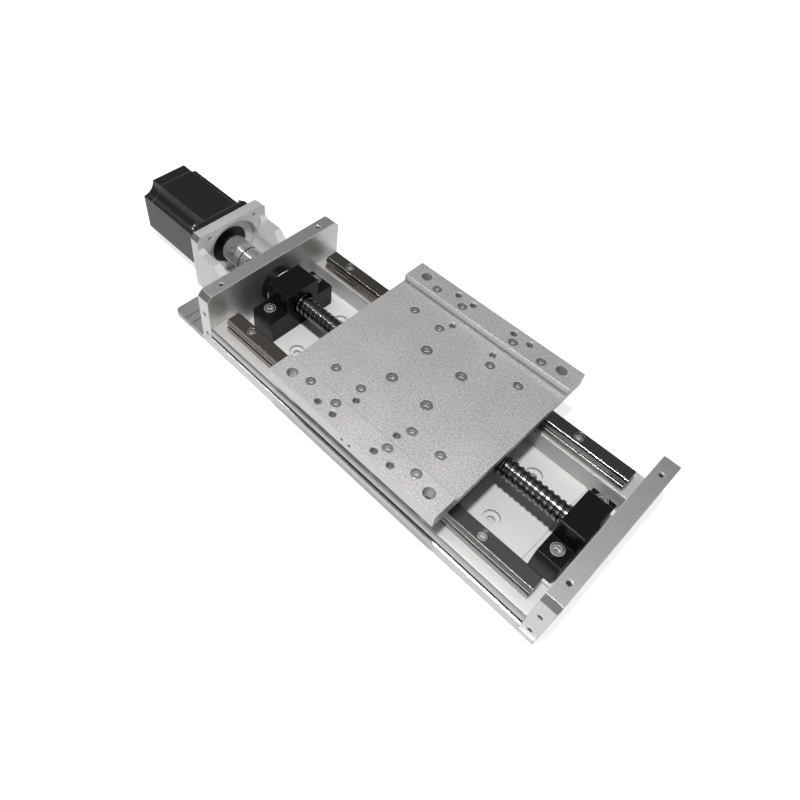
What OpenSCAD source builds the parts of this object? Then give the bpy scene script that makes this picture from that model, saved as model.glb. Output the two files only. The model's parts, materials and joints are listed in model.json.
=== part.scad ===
// Ball screw linear module: aluminium base, two guide rails, a driven table and a stepper motor.
// +X runs along the screw away from the motor, +Z is up. The origin lies on the underside of the
// base, halfway between the inner faces of the two end plates.

/* [Base] */
// Distance between the inner faces of the end plates
bed_len = 325; // [300:5:420]
// Width of the base profile
base_w = 150; // [140:1:170]
// Thickness of the floor of the base
floor_t = 6; // [5:0.5:8]
// Height of the surface that the rails are screwed to
rail_seat_z = 23; // [20:0.5:25]
// Length of the floor that runs out past the motor end plate
tail_len = 40.5; // [20:0.5:46]
// Opening of the slot in each side of the base
side_slot_w = 2.4; // [2:0.2:4]
// Height of the centre of the side slot
side_slot_z = 15.2; // [12:0.2:16]

/* [End plates] */
// Thickness of each end plate
plate_t = 13; // [10:0.5:16]
// How far the sides of the end plates stand in from the sides of the base
plate_inset = 1; // [0:0.5:4]
// Height of the top edge of the end plates above the underside of the base
plate_top_z = 58.7; // [56:0.1:60]
// Chamfer on the two upper corners of each plate
plate_chamfer = 4.5; // [2:0.5:8]

/* [Guide rails] */
// Width of the rail
rail_w = 15; // [14:0.5:16]
// Height of the rail
rail_h = 13; // [12.5:0.1:13.4]
// Distance from the side of the base to the centre line of the rail on it
rail_inset = 18; // [17:0.5:20]
// Gap between the motor end plate and the rails
rail_gap_motor = 10.5; // [2:0.5:16]
// Gap between the free end plate and the rails
rail_gap_free = 7; // [2:0.5:16]
// Pitch of the five rail screws
rail_pitch = 60; // [50:1:64]
// Distance from the motor end of the rail to its first screw
rail_first_screw = 23.3; // [15:0.1:30]

/* [Guide blocks] */
// Height from the rail seat to the top of a guide block
block_h = 28; // [27:0.5:29]
// Width of a guide block
block_w = 34; // [30:1:36]
// Length of the steel part of a guide block
block_steel_len = 39.4; // [36:0.2:42]
// Length of the end cap at each end of a guide block
cap_len = 11; // [8:0.5:12]
// Pitch of the four screws in a guide block
block_screw_pitch = 26; // [24:1:26]
// Distance between the centres of the two blocks on one rail
block_spacing = 76; // [68:1:90]

/* [Table] */
// Length of the table along the screw
table_len = 160; // [150:1:180]
// How far each side of the table reaches out past the side of the base
table_overhang = 10; // [8:0.5:14]
// Thickness of the middle of the table
table_mid_t = 7; // [6.5:0.5:8]
// Thickness of the raised ledges along both sides
ledge_t = 13.5; // [12:0.5:15]
// Width of each raised ledge
ledge_w = 21.5; // [18:0.5:24]
// Place of the table's centre at rest
table_x = 7.7; // [-60:0.1:60]

/* [Ball screw] */
// Height of the screw axis
axis_z = 30; // [29.5:0.1:31]
// Outer diameter of the screw
screw_d = 16; // [15:0.5:16]
// Diameter of the fixed bearing seat on the screw
fixed_seat_d = 12; // [10:0.5:13]
// Diameter of the floating bearing seat and of the coupling journal
journal_d = 10; // [8:0.5:11]

/* [Ball nut] */
// Diameter of the nut body
nut_d = 28; // [26:0.5:30]
// Diameter of the nut flange
nut_flange_d = 48; // [46:0.5:48]
// Width of the nut flange across its flats
nut_flange_flat = 40; // [38:0.5:41]
// Thickness of the nut flange
nut_flange_t = 10; // [8:0.5:12]
// Length of the nut including its flange
nut_len = 50; // [44:1:60]
// Circle of the nut flange screws
nut_pcd = 38; // [36:0.5:39]

/* [Nut housing] */
// Length of the nut housing along the screw
housing_len = 46; // [44:1:52]
// Width of the nut housing
housing_w = 52; // [50:1:56]
// Pitch of the housing screws along the screw
housing_pitch_x = 34; // [28:1:35]
// Pitch of the housing screws across the screw
housing_pitch_y = 39; // [38:1:42]

/* [Screw supports] */
// Width of the upper block of a support
support_w = 35; // [34:0.5:38]
// Height of the top of the supports above the screw axis
support_rise = 17.5; // [17:0.5:20]
// Width of a support across its feet
support_foot_w = 70; // [66:1:76]
// Height of the top of the feet above the support seat
support_foot_h = 23.5; // [20:0.5:24]
// Distance between the two foot screws
support_pitch = 53; // [50:0.5:54]
// Length of the fixed support along the screw
fixed_len = 25; // [24:0.5:27]
// Length of the floating support along the screw
floating_len = 19; // [18:0.5:22]
// Depth of the milled seat of the supports below the floor
seat_depth = 1; // [0.5:0.5:2]
// Outer diameter of the round bearing cap on the fixed support
cap_ring_d = 35; // [33:0.5:35]

/* [Motor] */
// Side of the square motor
motor_w = 60; // [57:1:60]
// Length of the motor from its mounting face
motor_len = 87; // [76:1:100]
// Distance between neighbouring motor screws
motor_pitch = 50; // [48:0.5:50]
// Radius of the grooves along the motor's corners
motor_groove_r = 12; // [10:0.5:13]
// Diameter of the motor shaft
motor_shaft_d = 8; // [6.35:0.05:10]
// Diameter of the motor's pilot
pilot_d = 38.1; // [36:0.1:40]

/* [Motor bracket] */
// Width of the bracket
bracket_w = 77; // [74:1:84]
// Distance between the motor's mounting face and the end plate
bracket_len = 57; // [56:0.5:60]
// Thickness of the bracket's motor flange
flange_t = 9.5; // [8:0.5:12]
// Height of the top of the motor flange
flange_top_z = 61.5; // [61:0.5:66]
// Chamfer on the two upper corners of the motor flange
flange_chamfer = 4; // [2:0.5:6]
// Radius of the bored-out middle of the bracket
bracket_bore_r = 28; // [26:0.5:29]
// Height of the side walls
wall_top_z = 45; // [40:0.5:48]
// Width across the screws that hold the bracket to the base
bracket_foot_pitch = 67; // [64:0.5:68]

/* [Coupling] */
// Outer diameter of the shaft coupling
coupling_d = 25; // [22:0.5:28]
// Length of each coupling hub
hub_len = 21.2; // [18:0.2:22]
// Gap between the hubs, filled by the insert
hub_gap = 1.6; // [1:0.2:4]

/* [Fits] */
// Clearance of a piece that slides or turns beside another one
run_gap = 0.35; // [0.3:0.05:0.5]
// Radial clearance of a screw in its through hole
hole_gap = 0.25; // [0.2:0.05:0.5]
// Small chamfer on machined edges
edge = 0.6; // [0.4:0.1:1]

/* [Hidden] */
$fn = 64;

// widths that follow from the base
plate_w = base_w - 2 * plate_inset;
table_w = base_w + 2 * table_overhang;
rail_y = base_w / 2 - rail_inset;
channel_w = 2 * (rail_y - rail_w / 2 - 3);

// places along the module
plate_in = bed_len / 2;
plate_out = plate_in + plate_t;
base_left = -plate_out - tail_len;
rail_x0 = -plate_in + rail_gap_motor;
rail_x1 = plate_in - rail_gap_free;
rail_top_z = rail_seat_z + rail_h;
table_z = rail_seat_z + block_h;
table_top_z = table_z + table_mid_t;
ledge_top_z = table_z + ledge_t;
ledge_in_y = table_w / 2 - ledge_w;
seat_z = floor_t - seat_depth;
support_top_z = axis_z + support_rise;
foot_z = seat_z + support_foot_h;
cap_ring_t = 9;
fixed_back = -plate_in + cap_ring_t;
fixed_front = fixed_back + fixed_len;
floating_back = plate_in - 2.5;
floating_front = floating_back - floating_len;
motor_face = -plate_out - bracket_len;
flange_front = motor_face + flange_t;
hub_middle = (motor_face - plate_out) / 2 + 2;
screw_end_x = hub_middle + hub_gap / 2 + 2;
shaft_end_x = hub_middle - hub_gap / 2 - 2;

// places of smaller features
tail_r = 4;
tail_groove_w = 2.2;
tail_groove_depth = 1.2;
tail_groove_x = [base_left + 14, base_left + 22.5];
wall_slope_x = motor_face + 30.5;
pilot_land = 3.5;
support_sink = 1.5;
rail_head_sink = 5.3;
block_head_sink = 4.6;
housing_head_sink = 5.2;
base_head_sink = 3;
plate_head_sink = 5.4;
ring_gap = 0.02;
cap_chamfer = 0.8;
tapped = 0.02;
bracket_screw_xy = [for (x = [8.5, 25.5], s = [-1, 1]) [-plate_out - x, s * bracket_foot_pitch / 2]];

// socket screws: thread diameter, head diameter, head height, hexagon key
m3 = [3, 5.5, 3, 2.5];
m4 = [4, 7, 4, 3];
m5 = [5, 8.5, 5, 4];
m6 = [6, 10, 6, 5];
// an M6 screw on a washer
m6_washer = [6, 12.4, 6, 5];

// holes in the table and the base
base_hole_x = [-107, 103];
base_hole_y = 26;
large_hole = [table_len - 28, table_w - 21];
large_hole_d = 9;
thread_hole_x = [20, 35];
ledge_thread_y = table_w / 2 - 7;
middle_thread_y = rail_y - 3;
thread_hole_d = 5;
thread_mouth_d = 6.6;
flag_hole_pitch = 7.2;
plate_side_hole_z = [12.5, 36.5];
plate_top_hole_y = plate_w / 2 - 19.5;
tap_d = 3.3;

// bearings: bore, outside diameter, width
fixed_bearing = [fixed_seat_d, 28, 8];
floating_bearing = [journal_d, 26, 8];
motor_bearing = [motor_shaft_d, 22, 7];
fixed_bearing_x = [fixed_back + 2, fixed_back + 2 + fixed_bearing[2]];
floating_bearing_x = floating_front + 5;
motor_cover_t = 8;
rear_cover_t = 12;
motor_bearing_x = [motor_face - motor_cover_t, motor_face - motor_len + rear_cover_t - motor_bearing[2]];

// the insides of a guide block, measured from the rail's underside
block_under = 5.5;
rail_neck = 5.6;
rail_top_w = 11;

// ---------------------------------------------------------------- shared shapes

// turns a shape drawn along +Z so that it lies along +X
module along_x() {
    rotate([0, 90, 0]) children();
}

// a cylinder along +X from x0 to x1 on the screw axis
module shaft(x0, x1, d) {
    translate([x0, 0, axis_z]) along_x() cylinder(d = d, h = x1 - x0);
}

// a ring along +X from x0 to x1 on the screw axis
module ring(x0, x1, d_out, d_in) {
    difference() {
        shaft(x0, x1, d_out);
        shaft(x0 - 1, x1 + 1, d_in);
    }
}

// a block between two x, two y and two z
module block(x, y, z) {
    translate([x[0], y[0], z[0]]) cube([x[1] - x[0], y[1] - y[0], z[1] - z[0]]);
}

// a profile drawn in the Y-Z plane, pushed along +X from x0 to x1
module push_x(x0, x1) {
    translate([x0, 0, 0]) rotate([90, 0, 90]) linear_extrude(x1 - x0) children();
}

// a profile drawn in the X-Z plane, pushed along +Y from y0 to y1
module push_y(y0, y1) {
    translate([0, y1, 0]) rotate([90, 0, 0]) linear_extrude(y1 - y0) children();
}

// a socket head screw: the seat of its head at the origin, its thread towards -Z
module socket_screw(s, shank) {
    difference() {
        union() {
            cylinder(d = s[1], h = s[2]);
            translate([0, 0, -shank]) cylinder(d = s[0], h = shank + 0.1);
        }
        translate([0, 0, s[2] * 0.45]) cylinder(d = s[3] * 1.15, h = s[2], $fn = 6);
    }
}

// a stepped hole for a socket head screw, its mouth at the origin, going towards -Z
module screw_hole(s, sink, through) {
    translate([0, 0, -sink]) cylinder(d = s[1] + 4 * hole_gap, h = sink + 1);
    translate([0, 0, -through - 1]) cylinder(d = s[0] + 2 * hole_gap, h = through + 2);
}

// a blind tapped hole with a small countersink, its mouth at the origin, going towards -Z
module tapped_hole(d, mouth_d, depth) {
    translate([0, 0, -depth]) cylinder(d = d, h = depth + 1);
    translate([0, 0, -(mouth_d - d) / 2]) cylinder(d1 = d, d2 = mouth_d + 2, h = (mouth_d - d) / 2 + 1);
}

// a countersunk screw: the flat of its head at the origin, facing down, its thread towards +Z
module countersunk_screw(s, length) {
    difference() {
        union() {
            translate([0, 0, 0.1]) cylinder(d1 = 2 * s[0] - 0.4, d2 = s[0], h = s[0] / 2);
            translate([0, 0, 0.1]) cylinder(d = s[0], h = length);
        }
        translate([0, 0, -1]) cylinder(d = s[3] * 0.86, h = 2.8, $fn = 6);
    }
}

// the matching hole, its mouth at the origin, going towards +Z
module countersunk_hole(s, through) {
    translate([0, 0, -0.01]) cylinder(d1 = 2 * s[0], d2 = s[0] + 2 * hole_gap, h = s[0] / 2 + 0.3);
    translate([0, 0, -1]) cylinder(d = s[0] + 2 * hole_gap, h = through + 2);
}

// children placed at the four corners of a rectangle about the origin
module at_corners(px, py) {
    for (sx = [-1, 1], sy = [-1, 1]) translate([sx * px / 2, sy * py / 2, 0]) children();
}

// the two rings of a ball bearing and its balls, from x along +X
function race_d(b) = (b[0] + b[1]) / 2;
function ball_d(b) = (b[1] - b[0]) * 0.28;
module race_groove(x, b, gap) {
    translate([x + b[2] / 2, 0, axis_z]) along_x() rotate_extrude()
        translate([race_d(b) / 2, 0]) circle(d = ball_d(b) + 2 * gap, $fn = 32);
}
module bearing_outer(x, b) {
    difference() {
        ring(x, x + b[2], b[1], race_d(b) + ball_d(b) * 0.6);
        race_groove(x, b, run_gap);
    }
}
module bearing_inner(x, b) {
    difference() {
        ring(x, x + b[2], race_d(b) - ball_d(b) * 0.6, b[0] + ring_gap);
        race_groove(x, b, 0.01);
    }
}
module bearing_ball_row(x, b, count) {
    for (i = [0:count - 1]) translate([x + b[2] / 2, 0, axis_z]) rotate([i * 360 / count, 0, 0])
        translate([0, 0, race_d(b) / 2]) sphere(d = ball_d(b), $fn = 24);
}

// ---------------------------------------------------------------- base and end plates

end_screw_y = [channel_w / 2 + 5.5, base_w / 2 - 12];
end_screw_z = side_slot_z - 0.5;

// one half of the base's cross-section, from the middle outwards
module base_half_profile() {
    w = base_w / 2;
    c = channel_w / 2;
    polygon([
        [0, 0], [w - edge, 0], [w, edge], [w, side_slot_z + 2.6], [w - 0.4, rail_seat_z - 3],
        [w - 1.2, rail_seat_z - 1.2], [w - 2.5, rail_seat_z],
        [c + 1, rail_seat_z], [c, rail_seat_z - 1], [c, floor_t], [0, floor_t]
    ]);
}

// the T-shaped slot in the side of the base
module side_slot_profile() {
    translate([base_w / 2 - 3, side_slot_z - side_slot_w / 2]) square([4, side_slot_w]);
    translate([base_w / 2 - 6.5, side_slot_z - side_slot_w / 2 - 2]) square([3.6, side_slot_w + 4]);
}

module base_profile() {
    color([0.82, 0.82, 0.81]) difference() {
        union() {
            push_x(-plate_in, plate_in) for (s = [0, 1]) mirror([s, 0]) difference() {
                base_half_profile();
                side_slot_profile();
            }
            block([base_left, plate_out], [-base_w / 2, base_w / 2], [0, floor_t]);
        }
        // rounded corners of the tail
        for (s = [-1, 1]) translate([base_left, s * base_w / 2, -1]) difference() {
            translate([-tail_r, -tail_r, 0]) cube([2 * tail_r, 2 * tail_r, floor_t + 2]);
            translate([tail_r, -s * tail_r, 0]) cylinder(r = tail_r, h = floor_t + 2);
        }
        // two shallow grooves across the tail
        for (x = tail_groove_x)
            block([x, x + tail_groove_w], [-base_w, base_w], [floor_t - tail_groove_depth, floor_t + 1]);
        // countersunk holes for the screws that hold the motor bracket
        for (p = bracket_screw_xy) translate([p[0], p[1], 0]) countersunk_hole(m5, floor_t);
        // milled seats of the two screw supports
        for (x = [[-plate_in - 0.01, fixed_front + 3.5], [floating_front - 4.5, plate_in + 0.01]])
            block(x, [-channel_w / 2, channel_w / 2], [seat_z, floor_t + 0.01]);
        // mounting holes in the floor
        for (x = base_hole_x, s = [-1, 1]) translate([x, s * base_hole_y, floor_t])
            screw_hole(m6_washer, base_head_sink, floor_t);
        // tapped holes of the supports, the rails and the end plates
        for (s = [-1, 1]) {
            for (x = [(fixed_back + fixed_front) / 2, (floating_back + floating_front) / 2])
                translate([x, s * support_pitch / 2, -1]) cylinder(d = m6[0] + tapped, h = floor_t + 2);
            for (x = rail_screw_x) translate([x, s * rail_y, rail_seat_z - 10])
                cylinder(d = m4[0] + tapped, h = 12);
            for (e = [-1, 1], y = end_screw_y) translate([e * (plate_in - 15), s * y, end_screw_z])
                rotate([0, e * 90, 0]) cylinder(d = m5[0] + tapped, h = 16);
        }
    }
}

// an end plate standing on the floor of the base, its inner face at x = 0, its outer face at x = plate_t
module end_plate_blank() {
    h = plate_w / 2;
    c = plate_chamfer;
    difference() {
        push_x(0, plate_t) polygon([
            [-h, floor_t], [h, floor_t], [h, plate_top_z - c], [h - c, plate_top_z],
            [-h + c, plate_top_z], [-h, plate_top_z - c]
        ]);
        for (s = [-1, 1]) {
            translate([plate_t / 2, s * plate_top_hole_y, plate_top_z]) tapped_hole(tap_d, m4[0] + 0.6, 10);
            for (z = plate_side_hole_z) translate([plate_t / 2, s * h, z]) rotate([-s * 90, 0, 0])
                tapped_hole(tap_d, m4[0] + 0.4, 8);
            for (y = end_screw_y) translate([plate_t, s * y, end_screw_z]) rotate([0, 90, 0])
                screw_hole(m5, plate_head_sink, plate_t);
        }
    }
}

module motor_end_plate() {
    color([0.72, 0.72, 0.71]) difference() {
        translate([-plate_in, 0, 0]) mirror([1, 0, 0]) end_plate_blank();
        shaft(-plate_out - 1, -plate_in + 1, 26);
    }
}

module free_end_plate() {
    color([0.72, 0.72, 0.71]) translate([plate_in, 0, 0]) end_plate_blank();
}

module end_plate_screws() {
    color([0.25, 0.25, 0.27]) for (e = [-1, 1], s = [-1, 1], y = end_screw_y)
        translate([e * (plate_out - plate_head_sink), s * y, end_screw_z])
            rotate([0, e * 90, 0]) socket_screw(m5, 18);
}

// ---------------------------------------------------------------- rails

rail_screw_x = [for (i = [0:4]) rail_x0 + rail_first_screw + i * rail_pitch];

// right half of the rail's cross-section: foot, waist, lower ball track, side, upper ball track, top
function rail_half() = [
    [rail_w / 2 - 0.3, 0], [rail_w / 2, 0.3], [rail_w / 2, 4.6], [rail_w / 2 - 0.5, 5.2],
    [rail_neck, 6], [rail_neck, 7], [rail_w / 2 - 1.2, 8.4], [rail_w / 2, 9],
    [rail_w / 2, 10], [rail_w / 2 - 0.9, 10.7], [rail_w / 2 - 1.5, 12.2], [rail_top_w / 2, rail_h]
];

module rail(y) {
    half = rail_half();
    mirrored = [for (i = [len(half) - 1:-1:0]) [-half[i][0], half[i][1]]];
    color([0.33, 0.32, 0.31]) difference() {
        translate([0, y, rail_seat_z]) push_x(rail_x0, rail_x1) polygon(concat(half, mirrored));
        for (x = rail_screw_x) translate([x, y, rail_top_z]) screw_hole(m4, rail_head_sink, rail_h);
    }
}

module front_rail() {
    rail(-rail_y);
}

module rear_rail() {
    rail(rail_y);
}

module rail_screws() {
    color([0.7, 0.7, 0.72]) for (s = [-1, 1], x = rail_screw_x)
        translate([x, s * rail_y, rail_top_z - rail_head_sink]) socket_screw(m4, 16);
}

// ---------------------------------------------------------------- screw supports

// a support's outline across the screw: an upper block between two feet
module support_profile() {
    w = support_w / 2;
    f = support_foot_w / 2;
    polygon([
        [-f, seat_z], [f, seat_z], [f, foot_z - 1], [f - 1, foot_z], [w, foot_z],
        [w, support_top_z - 1], [w - 1, support_top_z], [-w + 1, support_top_z], [-w, support_top_z - 1],
        [-w, foot_z], [-f + 1, foot_z], [-f, foot_z - 1]
    ]);
}

module support_blank(x0, x1) {
    difference() {
        push_x(x0, x1) support_profile();
        for (s = [-1, 1]) translate([(x0 + x1) / 2, s * support_pitch / 2, foot_z])
            screw_hole(m6, support_sink, support_foot_h);
        // grub screw hole in the front of the upper block
        translate([(x0 + x1) / 2, -support_w / 2, axis_z + 6]) rotate([90, 0, 0])
            cylinder(d = tap_d, h = 12, center = true);
    }
}

module fixed_support_housing() {
    color([0.1, 0.1, 0.11]) difference() {
        support_blank(fixed_back, fixed_front);
        shaft(fixed_back - 1, fixed_bearing_x[1] + fixed_bearing[2], fixed_bearing[1] + ring_gap);
        shaft(fixed_back, fixed_front + 1, 22);
    }
}

// round cap that holds the outer rings of the fixed bearings
module fixed_support_cap() {
    color([0.13, 0.13, 0.14]) difference() {
        union() {
            shaft(-plate_in, fixed_back - cap_chamfer, cap_ring_d);
            translate([fixed_back - cap_chamfer, 0, axis_z]) along_x()
                cylinder(d1 = cap_ring_d, d2 = cap_ring_d - 2 * cap_chamfer, h = cap_chamfer);
            shaft(fixed_back - cap_chamfer, fixed_bearing_x[0], fixed_bearing[1]);
        }
        shaft(-plate_in - 1, fixed_back + 3, 24);
    }
}

module fixed_bearing_outer_rings() {
    color([0.6, 0.6, 0.62]) for (x = fixed_bearing_x) bearing_outer(x, fixed_bearing);
}

module support_foot_screws(x) {
    for (s = [-1, 1]) translate([x, s * support_pitch / 2, foot_z - support_sink])
        socket_screw(m6, support_foot_h + 2);
}

module fixed_support_screws() {
    color([0.55, 0.54, 0.5]) support_foot_screws((fixed_back + fixed_front) / 2);
}

module floating_support_housing() {
    color([0.1, 0.1, 0.11]) difference() {
        support_blank(floating_front, floating_back);
        shaft(floating_bearing_x - 0.01, floating_back + 1, floating_bearing[1] + ring_gap);
        shaft(floating_front - 1, floating_back, 20);
        ring(floating_bearing_x + floating_bearing[2], floating_bearing_x + floating_bearing[2] + 1.3,
            floating_bearing[1] + 2.4, floating_bearing[1] - 2);
    }
}

module floating_bearing_outer_ring() {
    color([0.6, 0.6, 0.62]) bearing_outer(floating_bearing_x, floating_bearing);
}

// spring ring in the bore of the floating support
module floating_support_circlip() {
    x = floating_bearing_x + floating_bearing[2];
    color([0.3, 0.3, 0.3]) difference() {
        ring(x + 0.02, x + 1.22, floating_bearing[1] + 2, floating_bearing[1] - 3.5);
        block([x - 1, x + 3], [-3, 3], [axis_z - 30, axis_z]);
    }
}

module floating_support_screws() {
    color([0.55, 0.54, 0.5]) support_foot_screws((floating_front + floating_back) / 2);
}

// ---------------------------------------------------------------- motor bracket

// outline of the motor flange
module flange_profile() {
    w = bracket_w / 2;
    c = flange_chamfer;
    polygon([
        [-w + 2, 0.5], [w - 2, 0.5], [w, 2.5], [w, flange_top_z - c], [w - c, flange_top_z],
        [-w + c, flange_top_z], [-w, flange_top_z - c], [-w, 2.5]
    ]);
}

// outline of a side wall, from the flange down to the end plate
module wall_profile() {
    polygon([
        [flange_front - 0.1, floor_t], [flange_front - 0.1, wall_top_z + 4], [flange_front + 4, wall_top_z],
        [wall_slope_x, wall_top_z], [wall_slope_x + 9, wall_top_z - 8],
        [-plate_out, wall_top_z - 13], [-plate_out, floor_t]
    ]);
}

// the trough between the side walls, seen along the screw
module trough_profile() {
    r = bracket_bore_r;
    circle(r = r);
    polygon([[-r, 0], [r, 0], [r + 4.5, 20], [-r - 4.5, 20]]);
}

module motor_bracket() {
    color([0.84, 0.84, 0.83]) difference() {
        union() {
            push_x(motor_face, flange_front) flange_profile();
            push_y(-bracket_w / 2, bracket_w / 2) wall_profile();
        }
        // pilot bore, counterbore and the trough that leaves room for the coupling
        shaft(motor_face - 1, flange_front, pilot_d + 0.1);
        shaft(motor_face + pilot_land, flange_front + 1, 2 * bracket_bore_r);
        translate([0, 0, axis_z]) push_x(flange_front, -plate_out + 1) trough_profile();
        // tapped holes for the motor screws and for the screws from below
        translate([motor_face, 0, axis_z]) along_x() at_corners(motor_pitch, motor_pitch)
            translate([0, 0, -1]) cylinder(d = m4[0] + tapped, h = flange_t + 2);
        for (p = bracket_screw_xy) translate([p[0], p[1], floor_t - 1]) cylinder(d = m5[0] + tapped, h = 12);
    }
}

// countersunk screws from below, through the tail of the base
module bracket_screws() {
    color([0.3, 0.3, 0.32]) for (p = bracket_screw_xy) translate([p[0], p[1], 0]) countersunk_screw(m5, 15);
}

// ---------------------------------------------------------------- motor

// square outline of the motor with a round groove down each corner
module grooved_square() {
    difference() {
        square(motor_w, center = true);
        for (sx = [-1, 1], sy = [-1, 1]) translate([sx * motor_w / 2, sy * motor_w / 2])
            circle(r = motor_groove_r);
    }
}

// outline of the front cover: a square with rounded corners
module cover_square() {
    r = 5;
    square([motor_w, motor_w - 2 * r], center = true);
    square([motor_w - 2 * r, motor_w], center = true);
    for (sx = [-1, 1], sy = [-1, 1]) translate([sx * (motor_w / 2 - r), sy * (motor_w / 2 - r)])
        circle(r = r);
}

module motor_front_cover() {
    x0 = motor_face - motor_cover_t;
    color([0.12, 0.12, 0.13]) difference() {
        union() {
            translate([x0, 0, axis_z]) along_x() linear_extrude(motor_cover_t) cover_square();
            shaft(motor_face - 0.1, motor_face + 1.6, pilot_d);
        }
        shaft(x0 - 1, x0 + motor_bearing[2], motor_bearing[1] + ring_gap);
        shaft(x0, motor_face + 3, motor_shaft_d + 4);
        translate([x0 - 1, 0, axis_z]) along_x() at_corners(motor_pitch, motor_pitch)
            cylinder(d = m4[0] + 2 * hole_gap, h = motor_cover_t + 3);
    }
}

module motor_stator() {
    x0 = motor_face - motor_len + rear_cover_t;
    stack = motor_len - rear_cover_t - motor_cover_t;
    color([0.1, 0.1, 0.11]) difference() {
        translate([x0, 0, axis_z]) along_x() linear_extrude(stack) grooved_square();
        shaft(x0 - 1, motor_face, rotor_d + 1);
    }
}

module motor_rear_cover() {
    x0 = motor_face - motor_len;
    color([0.12, 0.12, 0.13]) difference() {
        translate([x0, 0, axis_z]) along_x() linear_extrude(rear_cover_t) grooved_square();
        shaft(motor_bearing_x[1], x0 + rear_cover_t + 1, motor_bearing[1] + ring_gap);
        shaft(x0 + 2.5, x0 + rear_cover_t, motor_bearing[1] - 5);
    }
}

module motor_mount_screws() {
    color([0.75, 0.74, 0.7]) translate([motor_face - motor_cover_t, 0, axis_z])
        for (sy = [-1, 1], sz = [-1, 1]) translate([0, sy * motor_pitch / 2, sz * motor_pitch / 2])
            rotate([0, -90, 0]) socket_screw(m4, motor_cover_t + 8);
}

module motor_bearing_outer_rings() {
    color([0.6, 0.6, 0.62]) for (x = motor_bearing_x) bearing_outer(x, motor_bearing);
}

rotor_d = 30;
module motor_shaft() {
    color([0.7, 0.7, 0.72]) difference() {
        shaft(motor_face - motor_len + 3.5, shaft_end_x, motor_shaft_d);
        block([shaft_end_x - 16, shaft_end_x + 1], [-9, 9], [axis_z + motor_shaft_d / 2 - 0.5, axis_z + 9]);
    }
}

module motor_rotor() {
    x0 = motor_face - motor_len + rear_cover_t;
    x1 = motor_face - motor_cover_t;
    color([0.45, 0.44, 0.43]) ring(x0 + 5, x1 - 5, rotor_d, motor_shaft_d + ring_gap);
}

module motor_bearing_inner_rings() {
    color([0.62, 0.62, 0.64]) for (x = motor_bearing_x) bearing_inner(x, motor_bearing);
}

// ---------------------------------------------------------------- ball screw and coupling

module ball_screw() {
    color([0.3, 0.3, 0.31]) {
        shaft(screw_end_x, fixed_back - 1, journal_d);
        shaft(fixed_back - 1.01, fixed_front - 2, fixed_seat_d);
        shaft(fixed_front - 2.01, floating_front + 3, screw_d);
        shaft(floating_front + 2.99, floating_bearing_x + floating_bearing[2] + 2.6, journal_d);
    }
}

module fixed_bearing_inner_rings() {
    color([0.62, 0.62, 0.64]) for (x = fixed_bearing_x) bearing_inner(x, fixed_bearing);
}

module floating_bearing_inner_ring() {
    color([0.62, 0.62, 0.64]) bearing_inner(floating_bearing_x, floating_bearing);
}

module bearing_balls() {
    color([0.8, 0.8, 0.82]) {
        for (x = fixed_bearing_x) bearing_ball_row(x, fixed_bearing, 9);
        bearing_ball_row(floating_bearing_x, floating_bearing, 8);
        for (x = motor_bearing_x) bearing_ball_row(x, motor_bearing, 7);
    }
}

// round slotted nut that clamps the inner rings of the fixed bearings
module screw_lock_nut() {
    x1 = fixed_bearing_x[0];
    color([0.25, 0.25, 0.26]) difference() {
        ring(x1 - 8, x1, 22, journal_d + ring_gap);
        for (a = [0, 90]) translate([x1 - 9, 0, axis_z]) rotate([a, 0, 0]) translate([0, 0, 9.4])
            translate([0, -1.5, 0]) cube([4, 3, 4]);
        shaft(fixed_back - 1.01, x1 + 1, fixed_seat_d + ring_gap);
    }
}

// spring ring on the end of the floating journal
module screw_shaft_circlip() {
    x = floating_bearing_x + floating_bearing[2];
    color([0.3, 0.3, 0.3]) ring(x + ring_gap, x + 1.1, journal_d + 4, journal_d + ring_gap);
}

// a clamping hub with its slit and the pocket of its clamp screw
module clamp_hub(x0, x1, bore, screw_x) {
    difference() {
        ring(x0, x1, coupling_d, bore + ring_gap);
        block([x0 - 1, x1 + 1], [-coupling_d, 0], [axis_z - 0.5, axis_z + 0.5]);
        translate([screw_x, -coupling_d * 0.34, axis_z]) {
            translate([0, 0, 5]) cylinder(d = m4[1] + 0.6, h = 12);
            translate([0, 0, -12]) cylinder(d = m4[0] + 2 * hole_gap, h = 24);
        }
    }
}

module coupling_motor_hub() {
    x1 = hub_middle - hub_gap / 2;
    color([0.85, 0.85, 0.86]) clamp_hub(x1 - hub_len, x1, motor_shaft_d, x1 - hub_len / 2);
}

module coupling_screw_hub() {
    x0 = hub_middle + hub_gap / 2;
    color([0.85, 0.85, 0.86]) clamp_hub(x0, x0 + hub_len, journal_d, x0 + hub_len / 2);
}

module coupling_insert() {
    color([0.75, 0.75, 0.74]) ring(hub_middle - hub_gap / 2, hub_middle + hub_gap / 2, coupling_d - 0.6, 9);
}

module coupling_clamp_screws() {
    color([0.3, 0.3, 0.31]) for (s = [-1, 1])
        translate([hub_middle + s * (hub_gap + hub_len) / 2, -coupling_d * 0.34, axis_z + 5])
            socket_screw(m4, 12);
}

// ---------------------------------------------------------------- table and guide blocks

module table_profile() {
    w = table_w / 2;
    polygon([
        [-w + edge, table_z], [w - edge, table_z], [w, table_z + edge], [w, ledge_top_z - edge],
        [w - edge, ledge_top_z], [ledge_in_y + edge, ledge_top_z], [ledge_in_y, ledge_top_z - edge],
        [ledge_in_y, table_top_z], [-ledge_in_y, table_top_z], [-ledge_in_y, ledge_top_z - edge],
        [-ledge_in_y - edge, ledge_top_z], [-w + edge, ledge_top_z], [-w, ledge_top_z - edge],
        [-w, table_z + edge]
    ]);
}

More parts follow.
